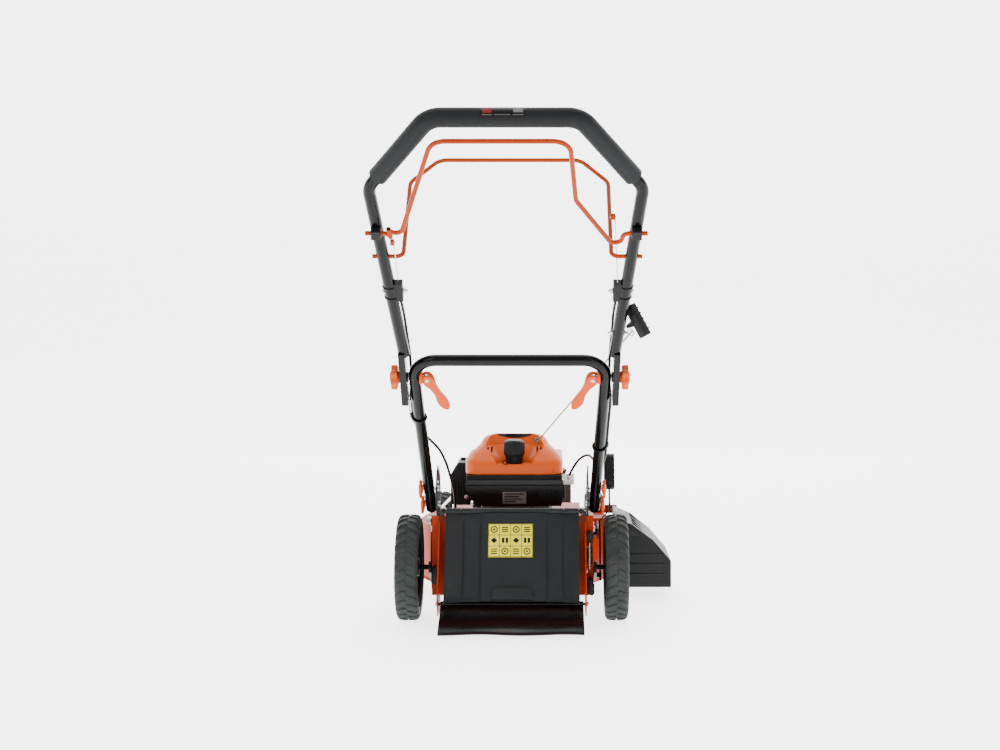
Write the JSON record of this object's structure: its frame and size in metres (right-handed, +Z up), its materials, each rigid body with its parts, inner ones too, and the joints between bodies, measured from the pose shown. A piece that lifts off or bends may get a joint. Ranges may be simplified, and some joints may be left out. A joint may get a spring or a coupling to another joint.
{
  "type": "self-propelled rotary lawn mower",
  "caption": "Petrol rotary mower on a raised-back pressed deck, with folding tube handle, two bails, recoil start, rear flap, side deflector and lever height adjustment.",
  "frame": {"origin": "centre of the footprint on the ground", "axes": "+X to the operator's right, +Y forward, +Z up"},
  "size_m": [0.6569, 1.5012, 1.109],
  "materials": {
    "orange_plastic": "moulded, slightly glossy",
    "orange_paint": "gloss paint",
    "orange_rod": "gloss paint on steel rod",
    "black_tube": "gloss black paint",
    "black_plastic": "fine grain",
    "black_paint": "satin black",
    "foam": "closed-cell foam",
    "rubber": "moulded rubber",
    "tyre": "dusty rubber",
    "rim_plastic": "moulded",
    "steel": "zinc plated",
    "aluminium": "cast",
    "cable": "cable sheath",
    "rope": "braided cord"
  },
  "bodies": {
    "chassis": {"deck_shell": "orange_paint", "discharge_chute": "black_plastic", "handle_bracket_left": "black_paint", "handle_bracket_right": "black_paint", "hinge_rods": "steel", "axle_bushes": "black_plastic", "height_quadrant": "black_paint", "gearbox": "aluminium", "crankcase": "aluminium", "cylinder": "aluminium", "muffler": "steel", "air_filter_box": "black_plastic", "carburettor": "aluminium", "fuel_tank": "black_plastic", "recoil_cover": "orange_plastic", "brake_cable_bracket": "steel", "drive_belt": "rubber", "drive_cable": "cable", "brake_cable": "cable", "starter_rope": "rope"},
    "crank": {"crankshaft": "steel", "flywheel": "aluminium", "blade_adapter": "steel", "blade": "steel", "blade_bolt": "steel"},
    "reel": {"starter_reel": "black_plastic"},
    "input_pulley": {"gearbox_pulley": "steel"},
    "cap": {"fuel_cap": "black_plastic"},
    "rear_axle": {"rear_axle": "steel", "height_lever": "black_paint"},
    "front_axle": {"front_axle": "steel"},
    "link": {"height_link": "steel"},
    "rear_wheel_left": {"rear_tyre_left": "tyre", "rear_rim_left": "rim_plastic"},
    "rear_wheel_right": {"rear_tyre_right": "tyre", "rear_rim_right": "rim_plastic"},
    "front_wheel_left": {"front_tyre_left": "tyre", "front_rim_left": "rim_plastic"},
    "front_wheel_right": {"front_tyre_right": "tyre", "front_rim_right": "rim_plastic"},
    "flap": {"rear_flap": "black_plastic"},
    "shield": {"trailing_shield": "rubber"},
    "deflector": {"side_deflector": "black_plastic"},
    "lower_handle": {"lower_handle": "black_tube", "handle_bolts": "steel"},
    "upper_handle": {"upper_handle": "black_tube", "foam_grip": "foam", "tube_clamps": "black_plastic", "rope_guide": "steel"},
    "drive_bail": {"drive_bail": "orange_rod"},
    "brake_bail": {"brake_bail": "orange_rod"},
    "starter_grip": {"starter_grip": "black_plastic"},
    "joint_knob_left": {"joint_knob_left": "orange_plastic"},
    "upper_deck_knob_left": {"upper_deck_knob_left": "orange_plastic"},
    "lower_deck_knob_left": {"lower_deck_knob_left": "orange_plastic"},
    "cam_lever_left": {"cam_lever_left": "orange_plastic"},
    "joint_knob_right": {"joint_knob_right": "orange_plastic"},
    "upper_deck_knob_right": {"upper_deck_knob_right": "orange_plastic"},
    "lower_deck_knob_right": {"lower_deck_knob_right": "orange_plastic"},
    "cam_lever_right": {"cam_lever_right": "orange_plastic"}
  },
  "joints": [
    {"name": "lower_handle_fold", "type": "hinge", "parent": "chassis", "child": "lower_handle", "pos_m": [-0.059, 0.02683, 0.26435], "axis": [-1, 0, 0], "range_deg": [0, 100], "deforming": ["drive_cable", "brake_cable", "starter_rope"]},
    {"name": "upper_handle_fold", "type": "hinge", "parent": "lower_handle", "child": "upper_handle", "pos_m": [-0.059, -0.24478, 0.5768], "axis": [1, 0, 0], "range_deg": [0, 84], "deforming": ["drive_cable", "brake_cable", "starter_rope"]},
    {"name": "drive_bail_squeeze", "type": "hinge", "parent": "upper_handle", "child": "drive_bail", "pos_m": [-0.059, -0.53063, 0.87819], "axis": [-1, 0, 0], "range_deg": [0, 10], "stiffness_Nm_per_rad": 1, "springref_deg": -34.38},
    {"name": "brake_bail_squeeze", "type": "hinge", "parent": "upper_handle", "child": "brake_bail", "pos_m": [-0.059, -0.46784, 0.8334], "axis": [1, 0, 0], "range_deg": [0, 80], "stiffness_Nm_per_rad": 0.4, "springref_deg": -68.75},
    {"name": "starter_pull", "type": "slide", "parent": "upper_handle", "child": "starter_grip", "axis": [0.3041, -0.8429, 0.4438], "range_m": [0, 0.5], "stiffness_N_per_m": 12, "springref_m": -0.3},
    {"name": "reel_spin", "type": "hinge", "parent": "chassis", "child": "reel", "pos_m": [-0.059, 0.3541, 0.353], "axis": [0, 0, 1], "range_deg": [0, 600]},
    {"name": "crank_spin", "type": "hinge", "parent": "chassis", "child": "crank", "pos_m": [-0.059, 0.3541, 0.2], "axis": [0, 0, 1], "continuous": true},
    {"name": "input_pulley_spin", "type": "hinge", "parent": "chassis", "child": "input_pulley", "pos_m": [-0.154, 0.0831, 0.134], "axis": [0, 0, 1], "continuous": true},
    {"name": "fuel_cap_turn", "type": "hinge", "parent": "chassis", "child": "cap", "pos_m": [-0.059, 0.1951, 0.36], "axis": [0, 0, 1], "range_deg": [0, 90]},
    {"name": "height_adjust", "type": "hinge", "parent": "chassis", "child": "rear_axle", "pos_m": [-0.059, 0.0911, 0.09], "axis": [1, 0, 0], "range_deg": [0, 21.6]},
    {"name": "front_axle_turn", "type": "hinge", "parent": "chassis", "child": "front_axle", "pos_m": [-0.059, 0.7111, 0.0715], "axis": [1, 0, 0], "range_deg": [0, 21.6]},
    {"name": "height_link_turn", "type": "hinge", "parent": "rear_axle", "child": "link", "pos_m": [-0.2575, 0.11453, 0.21279], "axis": [1, 0, 0], "range_deg": [-21.6, 0]},
    {"name": "rear_wheel_spin_left", "type": "hinge", "parent": "rear_axle", "child": "rear_wheel_left", "pos_m": [-0.296, 0.0291, 0.12], "axis": [1, 0, 0], "continuous": true},
    {"name": "front_wheel_spin_left", "type": "hinge", "parent": "front_axle", "child": "front_wheel_left", "pos_m": [-0.262, 0.6491, 0.1015], "axis": [1, 0, 0], "continuous": true},
    {"name": "joint_knob_turn_left", "type": "hinge", "parent": "lower_handle", "child": "joint_knob_left", "pos_m": [-0.303, -0.24478, 0.5768], "axis": [1, 0, 0], "continuous": true},
    {"name": "upper_deck_knob_turn_left", "type": "hinge", "parent": "lower_handle", "child": "upper_deck_knob_left", "pos_m": [-0.266, -0.0086, 0.3051], "axis": [1, 0, 0], "continuous": true},
    {"name": "lower_deck_knob_turn_left", "type": "hinge", "parent": "lower_handle", "child": "lower_deck_knob_left", "pos_m": [-0.265, 0.02683, 0.26435], "axis": [1, 0, 0], "continuous": true},
    {"name": "cam_lever_swing_left", "type": "hinge", "parent": "lower_handle", "child": "cam_lever_left", "pos_m": [-0.237, -0.24478, 0.5768], "axis": [0, -0.7547, -0.6561], "range_deg": [0, 55]},
    {"name": "rear_wheel_spin_right", "type": "hinge", "parent": "rear_axle", "child": "rear_wheel_right", "pos_m": [0.178, 0.0291, 0.12], "axis": [1, 0, 0], "continuous": true},
    {"name": "front_wheel_spin_right", "type": "hinge", "parent": "front_axle", "child": "front_wheel_right", "pos_m": [0.144, 0.6491, 0.1015], "axis": [1, 0, 0], "continuous": true},
    {"name": "joint_knob_turn_right", "type": "hinge", "parent": "lower_handle", "child": "joint_knob_right", "pos_m": [0.185, -0.24478, 0.5768], "axis": [1, 0, 0], "continuous": true},
    {"name": "upper_deck_knob_turn_right", "type": "hinge", "parent": "lower_handle", "child": "upper_deck_knob_right", "pos_m": [0.148, -0.0086, 0.3051], "axis": [1, 0, 0], "continuous": true},
    {"name": "lower_deck_knob_turn_right", "type": "hinge", "parent": "lower_handle", "child": "lower_deck_knob_right", "pos_m": [0.147, 0.02683, 0.26435], "axis": [1, 0, 0], "continuous": true},
    {"name": "cam_lever_swing_right", "type": "hinge", "parent": "lower_handle", "child": "cam_lever_right", "pos_m": [0.119, -0.24478, 0.5768], "axis": [0, 0.7547, 0.6561], "range_deg": [0, 55]},
    {"name": "rear_flap_lift", "type": "hinge", "parent": "chassis", "child": "flap", "pos_m": [-0.059, 0.0071, 0.252], "axis": [-1, 0, 0], "range_deg": [0, 75], "stiffness_Nm_per_rad": 0.5, "springref_deg": -28.65},
    {"name": "trailing_shield_lift", "type": "hinge", "parent": "chassis", "child": "shield", "pos_m": [-0.059, -0.0429, 0.05], "axis": [-1, 0, 0], "range_deg": [0, 12]},
    {"name": "side_deflector_lift", "type": "hinge", "parent": "chassis", "child": "deflector", "pos_m": [0.191, 0.3491, 0.19], "axis": [0, -1, 0], "range_deg": [0, 70], "stiffness_Nm_per_rad": 0.5, "springref_deg": -28.65}
  ],
  "couplings": [
    {"joint": "reel_spin", "follows": "starter_pull", "rad_per_m": 20},
    {"joint": "input_pulley_spin", "follows": "crank_spin", "ratio": 1},
    {"joint": "front_axle_turn", "follows": "height_adjust", "ratio": 1},
    {"joint": "height_link_turn", "follows": "height_adjust", "ratio": -1}
  ]
}
